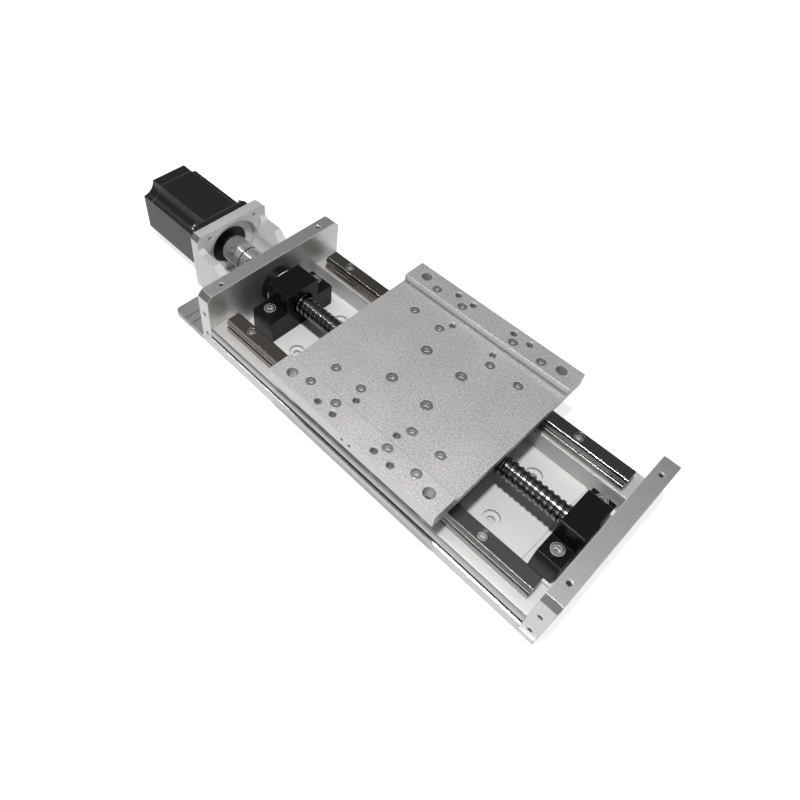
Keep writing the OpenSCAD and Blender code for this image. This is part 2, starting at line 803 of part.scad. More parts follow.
// children placed at the guide block screws that go through the ledges, on the ledges' top
module at_ledge_screws() {
    for (sb = [-1, 1], ss = [-1, 1], sy = [-1, 1]) translate([
        table_x + (sb * block_spacing + ss * block_screw_pitch) / 2,
        sy * (rail_y + block_screw_pitch / 2),
        ledge_top_z
    ]) children();
}

// the same for the screws that go through the middle of the table
module at_middle_screws() {
    for (sb = [-1, 1], ss = [-1, 1], sy = [-1, 1]) translate([
        table_x + (sb * block_spacing + ss * block_screw_pitch) / 2,
        sy * (rail_y - block_screw_pitch / 2),
        table_top_z
    ]) children();
}

module table_plate() {
    color([0.78, 0.78, 0.77]) difference() {
        push_x(table_x - table_len / 2, table_x + table_len / 2) table_profile();
        at_ledge_screws() screw_hole(m4, block_head_sink, ledge_t);
        at_middle_screws() screw_hole(m4, block_head_sink, table_mid_t);
        translate([table_x, 0, table_top_z]) at_corners(housing_pitch_x, housing_pitch_y)
            screw_hole(m5, housing_head_sink, table_mid_t);
        translate([table_x, 0, ledge_top_z - ledge_t - 1]) at_corners(large_hole[0], large_hole[1])
            cylinder(d = large_hole_d, h = ledge_t + 2);
        for (x = thread_hole_x) translate([table_x, 0, ledge_top_z]) at_corners(2 * x, 2 * ledge_thread_y)
            tapped_hole(thread_hole_d, thread_mouth_d, ledge_t + 1);
        translate([table_x, 0, table_top_z]) at_corners(2 * thread_hole_x[0], 2 * middle_thread_y)
            tapped_hole(thread_hole_d, thread_mouth_d, table_mid_t + 1);
        // sensor flag holes in the front and rear edges
        for (sx = [-1, 1], s = [-1, 1])
            translate([table_x + sx * flag_hole_pitch / 2, s * table_w / 2, table_z + 7])
                rotate([-s * 90, 0, 0]) tapped_hole(2.5, 3.2, 7);
    }
}

// a guide block's cross-section: a saddle that hooks under the head of the rail
module saddle_profile(w, top) {
    h = w / 2;
    g = run_gap;
    r = rail_w / 2;
    half = [
        [rail_neck + g, 7.2], [r - 1.2 + g, 8.25], [r + g, 8.8], [r + g, 10.1], [r - 0.9 + g, 10.9],
        [r - 1.5 + g, 12.4], [rail_top_w / 2 + g, rail_h + g]
    ];
    inside = concat([for (p = half) [-p[0], p[1]]], [for (i = [len(half) - 1:-1:0]) half[i]]);
    polygon(concat([
        [rail_neck + g, 6.2], [r - 0.2, block_under], [h - 2, block_under], [h, block_under + 3],
        [h, top - 1], [h - 1, top], [-h + 1, top], [-h, top - 1],
        [-h, block_under + 3], [-h + 2, block_under], [-r + 0.2, block_under], [-rail_neck - g, 6.2]
    ], inside));
}

module guide_block(side_y, side_x) {
    xc = table_x + side_x * block_spacing / 2;
    color([0.62, 0.62, 0.63]) difference() {
        translate([0, side_y * rail_y, rail_seat_z])
            push_x(xc - block_steel_len / 2, xc + block_steel_len / 2) saddle_profile(block_w, block_h);
        translate([xc, side_y * rail_y, table_z - 7]) at_corners(block_screw_pitch, block_screw_pitch)
            cylinder(d = m4[0] + tapped, h = 8);
    }
}

module block_caps(side_y, side_x) {
    xc = table_x + side_x * block_spacing / 2;
    color([0.1, 0.35, 0.2]) for (e = [-1, 1]) translate([0, side_y * rail_y, rail_seat_z]) {
        x0 = xc + e * (block_steel_len / 2 + cap_len / 2) - cap_len / 2;
        push_x(x0, x0 + cap_len) saddle_profile(block_w - 1.6, block_h - 0.8);
    }
}

module front_block_motor_end() {
    guide_block(-1, -1);
}

module front_block_free_end() {
    guide_block(-1, 1);
}

module rear_block_motor_end() {
    guide_block(1, -1);
}

module rear_block_free_end() {
    guide_block(1, 1);
}

module front_caps_motor_end() {
    block_caps(-1, -1);
}

module front_caps_free_end() {
    block_caps(-1, 1);
}

module rear_caps_motor_end() {
    block_caps(1, -1);
}

module rear_caps_free_end() {
    block_caps(1, 1);
}

// grease nipples on the outward caps of the four blocks
module grease_nipples() {
    color([0.75, 0.68, 0.45]) for (sx = [-1, 1], sy = [-1, 1])
        translate([table_x + sx * (block_spacing / 2 + block_steel_len / 2 + cap_len), sy * rail_y,
            rail_seat_z + rail_h + 5.5]) rotate([0, sx * 90, 0]) {
                cylinder(d = 4, h = 1.5);
                cylinder(d = 2.6, h = 4);
            }
}

module block_screws() {
    color([0.3, 0.3, 0.31]) {
        at_ledge_screws() translate([0, 0, -block_head_sink])
            socket_screw(m4, ledge_t - block_head_sink + 6);
        at_middle_screws() translate([0, 0, -block_head_sink])
            socket_screw(m4, table_mid_t - block_head_sink + 6);
    }
}

// ---------------------------------------------------------------- nut and its housing

housing_x = [table_x - housing_len / 2, table_x + housing_len / 2];
flange_x = housing_x[0] - nut_flange_t;

module nut_housing() {
    w = housing_w / 2;
    color([0.75, 0.75, 0.74]) difference() {
        push_x(housing_x[0], housing_x[1]) polygon([
            [-w, table_z], [-w, axis_z - 6], [-w + 10, axis_z - 18],
            [w - 10, axis_z - 18], [w, axis_z - 6], [w, table_z]
        ]);
        shaft(housing_x[0] - 1, housing_x[1] + 1, nut_d + 0.1);
        translate([table_x, 0, table_z]) at_corners(housing_pitch_x, housing_pitch_y)
            translate([0, 0, -14]) cylinder(d = m5[0] + tapped, h = 15);
        for (a = nut_screw_angles) translate([housing_x[0] - 1, 0, axis_z]) rotate([a, 0, 0])
            translate([0, 0, nut_pcd / 2]) along_x() cylinder(d = m5[0] + tapped, h = 13);
    }
}

module nut_housing_screws() {
    color([0.3, 0.3, 0.31]) translate([table_x, 0, table_top_z - housing_head_sink])
        at_corners(housing_pitch_x, housing_pitch_y) socket_screw(m5, table_mid_t - housing_head_sink + 11);
}

nut_screw_angles = [45, 90, 135, 225, 270, 315];
module ball_nut() {
    color([0.55, 0.55, 0.57]) difference() {
        union() {
            intersection() {
                shaft(flange_x, housing_x[0], nut_flange_d);
                block([flange_x, housing_x[0]], [-nut_flange_d, nut_flange_d],
                    [axis_z - nut_flange_flat / 2, axis_z + nut_flange_flat / 2]);
            }
            shaft(housing_x[0] - 0.1, flange_x + nut_len, nut_d);
        }
        shaft(flange_x - 1, flange_x + nut_len + 1, screw_d + 2 * run_gap);
        ring(flange_x + nut_len - 3, flange_x + nut_len + 1, nut_d - 5, 5);
        ring(flange_x - 1, flange_x + 3, nut_d - 5, 5);
        for (a = nut_screw_angles) translate([housing_x[0], 0, axis_z]) rotate([a, 0, 0])
            translate([0, 0, nut_pcd / 2]) rotate([0, -90, 0])
                cylinder(d = m5[0] + 2 * hole_gap, h = nut_flange_t + 1);
    }
}

// plastic wipers in both ends of the nut
module nut_wipers() {
    color([0.9, 0.9, 0.88]) for (x = [flange_x + 0.3, flange_x + nut_len - 2.98])
        ring(x, x + 2.68, nut_d - 5.02, screw_d + 2 * run_gap);
}

module nut_flange_screws() {
    color([0.3, 0.3, 0.31]) for (a = nut_screw_angles) translate([flange_x, 0, axis_z]) rotate([a, 0, 0])
        translate([0, 0, nut_pcd / 2]) rotate([0, -90, 0]) socket_screw(m5, nut_flange_t + 10);
}

// ---------------------------------------------------------------- drawing

base_profile();
motor_end_plate();
free_end_plate();
end_plate_screws();
front_rail();
rear_rail();
rail_screws();
fixed_support_housing();
fixed_support_cap();
fixed_bearing_outer_rings();
fixed_support_screws();
floating_support_housing();
floating_bearing_outer_ring();
floating_support_circlip();
floating_support_screws();
motor_bracket();
bracket_screws();
motor_front_cover();
motor_stator();
motor_rear_cover();
motor_mount_screws();
motor_bearing_outer_rings();
ball_screw();
fixed_bearing_inner_rings();
floating_bearing_inner_ring();
bearing_balls();
screw_lock_nut();
screw_shaft_circlip();
coupling_motor_hub();
coupling_screw_hub();
coupling_insert();
coupling_clamp_screws();
motor_shaft();
motor_rotor();
motor_bearing_inner_rings();
table_plate();
front_block_motor_end();
front_block_free_end();
rear_block_motor_end();
rear_block_free_end();
front_caps_motor_end();
front_caps_free_end();
rear_caps_motor_end();
rear_caps_free_end();
grease_nipples();
block_screws();
nut_housing();
nut_housing_screws();
ball_nut();
nut_wipers();
nut_flange_screws();
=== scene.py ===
"""Looks for the ball screw linear module: finishes of its parts, the screw's thread, light and camera.

Everything is in metres. +X runs along the screw away from the motor, +Y across the module, +Z up.
"""

import json
import math

import bmesh
import bpy
from mathutils import Euler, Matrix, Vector


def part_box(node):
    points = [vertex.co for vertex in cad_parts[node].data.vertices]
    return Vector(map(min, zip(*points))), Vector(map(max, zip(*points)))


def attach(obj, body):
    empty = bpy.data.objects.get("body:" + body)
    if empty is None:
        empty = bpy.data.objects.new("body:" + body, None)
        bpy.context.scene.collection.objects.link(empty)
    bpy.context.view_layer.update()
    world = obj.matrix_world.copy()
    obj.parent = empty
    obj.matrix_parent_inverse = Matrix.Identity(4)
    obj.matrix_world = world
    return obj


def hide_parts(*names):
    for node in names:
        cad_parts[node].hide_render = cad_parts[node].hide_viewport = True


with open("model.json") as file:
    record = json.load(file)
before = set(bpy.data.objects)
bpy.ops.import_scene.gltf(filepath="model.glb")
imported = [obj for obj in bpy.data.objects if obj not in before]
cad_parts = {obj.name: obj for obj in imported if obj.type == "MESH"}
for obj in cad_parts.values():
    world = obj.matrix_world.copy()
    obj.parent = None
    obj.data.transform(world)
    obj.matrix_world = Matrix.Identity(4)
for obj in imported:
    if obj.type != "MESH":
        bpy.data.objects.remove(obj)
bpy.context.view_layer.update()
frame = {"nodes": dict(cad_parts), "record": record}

MM = 0.001


# ---------------------------------------------------------------- colours


def grey(value):
    """A neutral colour, a touch warm."""
    return (value, value * 0.985, value * 0.97)


def pale(value):
    """The cooler, neutral grey of drawn aluminium."""
    return (value, value * 0.995, value * 0.992)


def scaled(colour, factor):
    """A colour made darker or lighter, white at most."""
    return tuple(min(1.0, share * factor) for share in colour)


WHITE = (1.0, 1.0, 1.0)
# colours of the painted shade inside recesses, on metal and on black parts
METAL_RECESS_SHADE = (0.01, 0.01, 0.01)
BLACK_RECESS_SHADE = (0.002, 0.002, 0.002)


# ---------------------------------------------------------------- shader nodes


def add_node(tree, kind, **settings):
    """A new shader node of that kind, with its properties set."""
    node = tree.nodes.new(kind)
    for name, value in settings.items():
        setattr(node, name, value)
    return node


def plug(socket, value):
    """Feeds a socket from another node, or sets its number, vector or (r, g, b) colour."""
    if isinstance(value, bpy.types.NodeSocket):
        socket.id_data.links.new(value, socket)
    elif socket.type == "RGBA":
        socket.default_value = (*value, 1.0)
    else:
        socket.default_value = value


def set_inputs(node, **values):
    """Plugs a node's inputs by name; an underscore stands for a space."""
    for name, value in values.items():
        plug(node.inputs[name.replace("_", " ")], value)
    return node


def fill_inputs(node, values):
    """Plugs a node's inputs in their order."""
    for socket, value in zip(node.inputs, values):
        plug(socket, value)
    return node


def arithmetic(tree, operation, *values, **settings):
    """A Math node's result on sockets or numbers."""
    node = add_node(tree, "ShaderNodeMath", operation=operation, **settings)
    return fill_inputs(node, values).outputs[0]


def vector_arithmetic(tree, operation, *values):
    """A Vector Math node on sockets or vectors."""
    return fill_inputs(add_node(tree, "ShaderNodeVectorMath", operation=operation), values)


def blend(tree, factor, low, high, kind="RGBA"):
    """Goes from low to high as factor goes from 0 to 1. kind is RGBA, FLOAT or VECTOR."""
    mix = add_node(tree, "ShaderNodeMix", data_type=kind)
    return set_inputs(mix, Factor=factor, A=low, B=high).outputs["Result"]


def graded(tree, share, start, end):
    """A number that goes from start to end as share goes from 0 to 1."""
    return arithmetic(tree, "MULTIPLY_ADD", share, end - start, start)


def reading(tree, socket, low, high):
    """0 to 1 as socket goes from low to high."""
    gauge = add_node(tree, "ShaderNodeMapRange", clamp=True)
    return set_inputs(gauge, Value=socket, From_Min=low, From_Max=high).outputs["Result"]


def band(tree, socket, low, high, soft):
    """1 where socket lies between low and high, with borders `soft` wide outside them."""
    rising = reading(tree, socket, low - soft, low)
    falling = reading(tree, socket, high + soft, high)
    return arithmetic(tree, "MULTIPLY", rising, falling)


def colour_ramp(tree, factor, stops):
    """A colour read off (position, colour) stops as factor goes from 0 to 1."""
    ramp = set_inputs(add_node(tree, "ShaderNodeValToRGB"), Fac=factor)
    marks = ramp.color_ramp.elements
    for mark, (position, colour) in zip(marks, (stops[0], stops[-1])):
        mark.position, mark.color = position, (*colour, 1.0)
    for position, colour in stops[1:-1]:
        marks.new(position).color = (*colour, 1.0)
    return ramp.outputs["Color"]


def split_axes(tree, vector):
    """A vector's X, Y and Z."""
    return set_inputs(add_node(tree, "ShaderNodeSeparateXYZ"), Vector=vector).outputs


def place_on_part(tree):
    """The point's place in the module, in metres."""
    return add_node(tree, "ShaderNodeTexCoord").outputs["Object"]


def surface_normal(tree):
    """Which way the surface faces, before any bump."""
    return add_node(tree, "ShaderNodeNewGeometry").outputs["Normal"]


def facing(tree, axis):
    """The surface normal's share along X, Y or Z, from -1 to 1."""
    return split_axes(tree, surface_normal(tree))[axis]


def facing_either_way(tree, axis):
    """The surface normal's share along an axis, from 0 to 1."""
    return arithmetic(tree, "ABSOLUTE", facing(tree, axis))


# ---------------------------------------------------------------- effects that finishes share


def new_group(name, inputs, outputs):
    """An empty shader node group. inputs is {name: default}, outputs {name: socket type}."""
    group = bpy.data.node_groups.new(name, "ShaderNodeTree")
    for label, default in inputs.items():
        socket = group.interface.new_socket(label, in_out="INPUT", socket_type="NodeSocketFloat")
        socket.default_value = default
    for label, kind in outputs.items():
        group.interface.new_socket(label, in_out="OUTPUT", socket_type=kind)
    given = add_node(group, "NodeGroupInput").outputs
    return group, given, add_node(group, "NodeGroupOutput")


def blasted_grain_group():
    """Fine speckle of a blasted or cast surface, with a slow cloudiness under it."""
    group, given, result = new_group(
        "blasted_grain",
        {"Cells per metre": 1100.0, "Speckle": 0.5, "Cloud": 0.5},
        {"Shade": "NodeSocketFloat", "Height": "NodeSocketFloat"},
    )
    clouds_per_metre = 26.0
    place = place_on_part(group)
    fine = add_node(group, "ShaderNodeTexNoise")
    set_inputs(fine, Vector=place, Scale=given["Cells per metre"], Detail=3.0, Roughness=0.65)
    slow = add_node(group, "ShaderNodeTexNoise")
    set_inputs(slow, Vector=place, Scale=clouds_per_metre, Detail=2.0)
    speckle = arithmetic(group, "SUBTRACT", fine.outputs["Fac"], 0.5)
    cloud = arithmetic(group, "SUBTRACT", slow.outputs["Fac"], 0.5)
    clouded = arithmetic(group, "MULTIPLY_ADD", cloud, given["Cloud"], 0.5)
    shade = arithmetic(group, "MULTIPLY_ADD", speckle, given["Speckle"], clouded)
    set_inputs(result, Shade=shade, Height=fine.outputs["Fac"])
    return group


def lengthwise_lines_group():
    """Fine lines along X, as an extrusion die, a grinding wheel or a polishing belt leaves them."""
    group, given, result = new_group(
        "lengthwise_lines",
        {"Strength": 0.5},
        {"Shade": "NodeSocketFloat", "Height": "NodeSocketFloat"},
    )
    lines_per_metre = (6.0, 900.0, 900.0)
    squeezed = add_node(group, "ShaderNodeMapping")
    set_inputs(squeezed, Vector=place_on_part(group), Scale=lines_per_metre)
    noise = add_node(group, "ShaderNodeTexNoise")
    lines = set_inputs(noise, Vector=squeezed.outputs[0], Scale=1.0, Detail=3.0).outputs["Fac"]
    offset = arithmetic(group, "SUBTRACT", lines, 0.5)
    shade = arithmetic(group, "MULTIPLY_ADD", offset, given["Strength"], 0.5)
    set_inputs(result, Shade=shade, Height=lines)
    return group


def bright_edge_group():
    """1 on sharp edges and 0 on faces, marking where edges are painted bright as wear and painted
    highlight: where a rounded normal leaves the face's own normal.
    """
    group, given, result = new_group(
        "bright_edge",
        {"Width": 0.6 * MM, "Gain": 6.0},
        {"Edge": "NodeSocketFloat", "Rounded normal": "NodeSocketVector"},
    )
    rounding = add_node(group, "ShaderNodeBevel", samples=4)
    rounded = set_inputs(rounding, Radius=given["Width"]).outputs["Normal"]
    same = vector_arithmetic(group, "DOT_PRODUCT", rounded, surface_normal(group)).outputs["Value"]
    differs = arithmetic(group, "SUBTRACT", 1.0, same)
    edge = arithmetic(group, "MULTIPLY", differs, given["Gain"], use_clamp=True)
    set_inputs(result, Edge=edge, Rounded_normal=rounded)
    return group


def recess_shade_group():
    """1 on open faces, falling towards 0 inside slots, hex sockets and counterbores."""
    group, given, result = new_group(
        "recess_shade", {"Reach": 3.0 * MM, "Depth": 2.0}, {"Open": "NodeSocketFloat"}
    )
    crowding = add_node(group, "ShaderNodeAmbientOcclusion", samples=6, only_local=True)
    unshaded = set_inputs(crowding, Distance=given["Reach"]).outputs["AO"]
    set_inputs(result, Open=arithmetic(group, "POWER", unshaded, given["Depth"], use_clamp=True))
    return group


GRAIN = blasted_grain_group()
LINES = lengthwise_lines_group()
EDGE = bright_edge_group()
RECESS = recess_shade_group()


def use_group(tree, group, **values):
    """The outputs of a node group placed with its own values."""
    return set_inputs(add_node(tree, "ShaderNodeGroup", node_tree=group), **values).outputs


def new_finish(name, **values):
    """A material with a Principled BSDF. Returns the material, its tree and the shader."""
    finish = bpy.data.materials.new(name)
    finish.use_nodes = True
    tree = finish.node_tree
    return finish, tree, set_inputs(tree.nodes["Principled BSDF"], **values)


def with_edge_wear_highlight_and_recess_shade(tree, base, edge_wear_and_highlight, bright, reach, depth, dark=METAL_RECESS_SHADE):
    """The base colour, turned to `bright` on edges as wear and painted highlight, and to `dark` as painted
    shade inside recesses narrower than reach.
    """
    edged = blend(tree, edge_wear_and_highlight["Edge"], base, bright)
    open_share = use_group(tree, RECESS, Reach=reach, Depth=depth)["Open"]
    return blend(tree, open_share, dark, edged)


def raised(tree, height, relief, strength, edge_wear_and_highlight=None):
    """The normal of a surface with that relief, in metres, over rounded edges where the edge group's
    outputs are given.
    """
    bump = add_node(tree, "ShaderNodeBump")
    set_inputs(bump, Height=height, Distance=relief, Strength=strength)
    if edge_wear_and_highlight:
        set_inputs(bump, Normal=edge_wear_and_highlight["Rounded normal"])
    return bump.outputs["Normal"]


# ---------------------------------------------------------------- finishes

# the normal's share along an axis where a face begins to count as that axis's own, and where it fully does
FACE_SHARE = (0.75, 0.95)
# the normal's share along Y on a 45 degree corner: least, most and soft border
CORNER_SHARE = (0.70, 0.715, 0.005)


def grained_metal(name, dark, light, *, roughness, cells, speckle, cloud, relief, edge_gain, metallic,
                  edge_width=0.5 * MM, recess=1.4, faces=None, cut_corners=None):
    """Blasted or cast metal: speckled colour, fine bump, edges painted brighter as wear and painted
    highlight, and painted shade in recesses.

    faces gives the faces along an axis their own (dark, light) pair: the table's milled sides are a finish
    of their own, while the bracket's faces along X and Z get painted light and painted shade.
    cut_corners is the (metallic, colour) of freshly cut 45 degree corners between Y and Z, their colour
    darkened as painted shade.
    """
    finish, tree, shader = new_finish(name, Roughness=roughness)
    grain = use_group(tree, GRAIN, Cells_per_metre=cells, Speckle=speckle, Cloud=cloud)
    edge_wear_and_highlight = use_group(tree, EDGE, Width=edge_width, Gain=edge_gain)
    colour = blend(tree, grain["Shade"], dark, light)
    metal = graded(tree, edge_wear_and_highlight["Edge"], metallic, 0.0)
    # each face's own pair: a real finish on the table, painted light and shade on the bracket
    for axis, pair in (faces or {}).items():
        toward = reading(tree, facing_either_way(tree, axis), *FACE_SHARE)
        colour = blend(tree, toward, colour, blend(tree, grain["Shade"], *pair))
    # painted shade on the 45 degree corners
    if cut_corners:
        cut_metallic, cut_colour = cut_corners
        corner = band(tree, facing_either_way(tree, "Y"), *CORNER_SHARE)
        colour = blend(tree, corner, colour, cut_colour)
        metal = blend(tree, corner, metal, cut_metallic, "FLOAT")
    set_inputs(
        shader,
        Base_Color=with_edge_wear_highlight_and_recess_shade(tree, colour, edge_wear_and_highlight, grey(0.95), reach=3.0 * MM, depth=recess),
        Metallic=metal,
        Normal=raised(tree, grain["Height"], relief, strength=0.5, edge_wear_and_highlight=edge_wear_and_highlight),
    )
    return finish


def lined_metal(name, dark, light, *, roughness, strength, relief, edge_gain, metallic):
    """Extruded, ground or drawn metal: fine lines along its length, edges painted brighter as wear and
    painted highlight, and painted shade in recesses.
    """
    finish, tree, shader = new_finish(name, Metallic=metallic, Roughness=roughness)
    lines = use_group(tree, LINES, Strength=strength)
    edge_wear_and_highlight = use_group(tree, EDGE, Width=0.35 * MM, Gain=edge_gain)
    colour = blend(tree, lines["Shade"], dark, light)
    set_inputs(
        shader,
        Base_Color=with_edge_wear_highlight_and_recess_shade(tree, colour, edge_wear_and_highlight, scaled(light, 1.4), reach=2.5 * MM, depth=1.2),
        Normal=raised(tree, lines["Height"], relief, strength=0.4, edge_wear_and_highlight=edge_wear_and_highlight),
    )
    return finish


def plain_finish(name, colour, *, roughness, metallic=0.0):
    """Plastic or bright metal with a faint grain."""
    finish, tree, shader = new_finish(name, Metallic=metallic, Roughness=roughness)
    grain = use_group(tree, GRAIN, Cells_per_metre=900.0, Speckle=0.3, Cloud=0.3)
    set_inputs(
        shader,
        Base_Color=blend(tree, grain["Shade"], scaled(colour, 0.8), scaled(colour, 1.2)),
        Normal=raised(tree, grain["Height"], 0.03 * MM, strength=0.3),
    )
    return finish


def blackened_finish(name, colour, *, roughness, sheen_level, painted_glint=0.10, edge_width=0.5 * MM):
    """Black oxide or black paint: faint grain, edges made lighter as wear and painted highlight, and
    painted shade in recesses.
    """
    finish, tree, shader = new_finish(name, Roughness=roughness, Specular_IOR_Level=sheen_level)
    grain = use_group(tree, GRAIN, Cells_per_metre=500.0, Speckle=0.4, Cloud=0.6)
    edge_wear_and_highlight = use_group(tree, EDGE, Width=edge_width, Gain=4.0)
    base = blend(tree, grain["Shade"], scaled(colour, 0.75), scaled(colour, 1.25))
    # edges lighter as wear and painted highlight, recesses darker as painted shade
    worn_lit_and_shaded = with_edge_wear_highlight_and_recess_shade(tree, base, edge_wear_and_highlight, grey(painted_glint), reach=3.0 * MM, depth=1.0, dark=BLACK_RECESS_SHADE)
    set_inputs(
        shader,
        Base_Color=worn_lit_and_shaded,
        Normal=raised(tree, grain["Height"], 0.02 * MM, strength=0.3, edge_wear_and_highlight=edge_wear_and_highlight),
    )
    return finish


def tint(tree, lines, colour):
    """Multiplies a colour by the die lines' light and dark."""
    product = add_node(tree, "ShaderNodeMix", data_type="RGBA", blend_type="MULTIPLY")
    shade = blend(tree, lines["Shade"], grey(0.9), grey(1.06))
    return set_inputs(product, Factor=1.0, A=colour, B=shade).outputs["Result"]


# lowest and highest point of the lip's painted highlight on the base's outer sides, then the painted shade
# above it and in the slot
LIP_HEIGHTS = (11.0 * MM, 13.9 * MM)
UPPER_LIP_HEIGHTS = (14.1 * MM, 17.6 * MM)
SLOT_HEIGHTS = (10.0 * MM, 18.6 * MM)
SLOT_DEPTH = 8.0 * MM
BORDER = 0.1 * MM
TAIL_BORDER = 1.0 * MM
# where the milled shelves begin, from the middle plane
SHELF_BORDER = (46.6 * MM, 46.8 * MM)
CHANNEL_METALLIC, SHELF_METALLIC = 0.08, 0.65
BASE_ROUGHNESS, LIP_ROUGHNESS = 0.42, 0.30
LIP_OUTWARD, LIP_UPWARD = 0.2, 0.98
# the base's tone by how far a face looks up, painted light and shade: 0 for upright faces, 1 for level ones
BASE_LIGHT_AND_SHADE_BY_FACING = [
    (0.0, pale(0.60)), (0.18, pale(0.60)), (0.41, pale(0.48)), (0.75, pale(0.34)), (0.97, pale(0.88)),
]


def extruded_finish():
    """The base: shelves and floor painted pale and corners and sides darker, as painted light and shade; a
    lip painted bright as a highlight below a slot painted dark as shade; the tail painted darker as a dark
    reflection.
    """
    finish, tree, shader = new_finish("extruded_aluminium")
    lines = use_group(tree, LINES, Strength=0.7)
    edge_wear_and_highlight = use_group(tree, EDGE, Width=0.5 * MM, Gain=1.2)
    axes = split_axes(tree, place_on_part(tree))
    across = arithmetic(tree, "ABSOLUTE", axes["Y"])
    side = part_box("base_profile")[1].y
    tail_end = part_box("motor_end_plate")[0].x

    outer_face = reading(tree, across, side - 3 * BORDER, side - BORDER)
    behind_face = band(tree, across, side - SLOT_DEPTH, side - 2 * BORDER, BORDER)
    lip = arithmetic(tree, "MULTIPLY", band(tree, axes["Z"], *LIP_HEIGHTS, 2 * BORDER), outer_face)
    upper_lip = arithmetic(tree, "MULTIPLY", band(tree, axes["Z"], *UPPER_LIP_HEIGHTS, BORDER), outer_face)
    in_slot = arithmetic(tree, "MULTIPLY", band(tree, axes["Z"], *SLOT_HEIGHTS, BORDER), behind_face)
    on_tail = reading(tree, axes["X"], tail_end, tail_end - TAIL_BORDER)

    colour = colour_ramp(tree, facing(tree, "Z"), BASE_LIGHT_AND_SHADE_BY_FACING)
    # painted highlight on the lip, painted shade on the upper lip and in the slot, painted dark reflection
    # on the tail
    for place, own in (
        (lip, pale(0.80)), (upper_lip, (0.02, 0.02, 0.02)), (on_tail, pale(0.40)),
        (in_slot, (0.006, 0.006, 0.006)),
    ):
        colour = blend(tree, place, colour, own)
    colour = tint(tree, lines, colour)
    polish = graded(tree, reading(tree, across, *SHELF_BORDER), CHANNEL_METALLIC, SHELF_METALLIC)

    # the lip is a bevel that faces up and a little outward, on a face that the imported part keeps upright
    outward = vector_arithmetic(tree, "SCALE", surface_normal(tree))
    outward = set_inputs(outward, Scale=LIP_OUTWARD).outputs[0]
    leaning = vector_arithmetic(tree, "ADD", outward, (0.0, 0.0, LIP_UPWARD)).outputs[0]
    upright = raised(tree, lines["Height"], 0.02 * MM, strength=0.4, edge_wear_and_highlight=edge_wear_and_highlight)
    set_inputs(
        shader,
        Base_Color=with_edge_wear_highlight_and_recess_shade(tree, colour, edge_wear_and_highlight, pale(0.95), reach=3.0 * MM, depth=0.2),
        Metallic=arithmetic(tree, "MAXIMUM", polish, lip),
        Roughness=graded(tree, lip, BASE_ROUGHNESS, LIP_ROUGHNESS),
        Normal=blend(tree, lip, upright, leaning, "VECTOR"),
    )
    return finish


# the rails' colour from the motor end to the free end
RAIL_HUES = [(0.0, (0.24, 0.22, 0.19)), (0.5, (0.14, 0.134, 0.125)), (1.0, (0.13, 0.132, 0.131))]


def rail_finish():
    """Ground and hardened steel: near black, warmer towards the motor, with edges painted bright as a
    highlight and painted shade in recesses.
    """
    finish, tree, shader = new_finish("rail_steel", Metallic=1.0, Roughness=0.26)
    lines = use_group(tree, LINES, Strength=0.8)
    edge_wear_and_highlight = use_group(tree, EDGE, Width=0.75 * MM, Gain=7.0)
    motor_end, free_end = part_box("front_rail")
    along = reading(tree, split_axes(tree, place_on_part(tree))["X"], motor_end.x, free_end.x)
    hue = tint(tree, lines, colour_ramp(tree, along, RAIL_HUES))
    set_inputs(
        shader,
        Base_Color=with_edge_wear_highlight_and_recess_shade(tree, hue, edge_wear_and_highlight, grey(0.9), reach=2.5 * MM, depth=0.8),
        Normal=raised(tree, lines["Height"], 0.004 * MM, strength=0.3, edge_wear_and_highlight=edge_wear_and_highlight),
    )
    return finish


SOCKET_REACH = 1.6 * MM
# how closed in and how level a socket's bottom is: where its painted glint begins, and where it is full
SOCKET_CLOSED = (0.2, 0.45)
LEVEL_FACE = (0.9, 0.97)
HEAD_METALLIC = 0.95


def screw_head_finish():
    """Zinc-plated cap screws: rims painted bright as a highlight, socket walls painted dark as shade, and a
    painted glint on the bottom of each socket.
    """
    finish, tree, shader = new_finish("screw_steel", Roughness=0.2)
    grain = use_group(tree, GRAIN, Cells_per_metre=900.0, Speckle=0.4, Cloud=0.4)
    edge_wear_and_highlight = use_group(tree, EDGE, Width=0.65 * MM, Gain=10.0)
    colour = blend(tree, grain["Shade"], grey(0.36), grey(0.52))
    worn_lit_and_shaded = with_edge_wear_highlight_and_recess_shade(tree, colour, edge_wear_and_highlight, grey(0.95), reach=SOCKET_REACH, depth=1.4)
    open_share = use_group(tree, RECESS, Reach=SOCKET_REACH, Depth=1.0)["Open"]
    sunk = reading(tree, arithmetic(tree, "SUBTRACT", 1.0, open_share), *SOCKET_CLOSED)
    socket_glint = arithmetic(tree, "MULTIPLY", sunk, reading(tree, facing(tree, "Z"), *LEVEL_FACE))
    rim_or_socket_glint = arithmetic(tree, "MAXIMUM", edge_wear_and_highlight["Edge"], socket_glint)
    set_inputs(
        shader,
        # painted highlight: socket bottoms white, and rims and bottoms made non-metallic so they read
        # bright
        Base_Color=blend(tree, socket_glint, worn_lit_and_shaded, grey(1.0)),
        Metallic=arithmetic(tree, "SUBTRACT", HEAD_METALLIC, rim_or_socket_glint),
        Normal=raised(tree, grain["Height"], 0.02 * MM, strength=0.3, edge_wear_and_highlight=edge_wear_and_highlight),
    )
    return finish


# the ring of painted glints on the cap's front: how far inside its outer radius, and how far in front of
# the housing
CAP_RIM = (0.9 * MM, 0.6 * MM)
CAP_FRONT = (1.1 * MM, 0.9 * MM)
# the grain's shade where the painted glint begins and where it is full
CAP_GLINT_PATCHES = (0.40, 0.46)


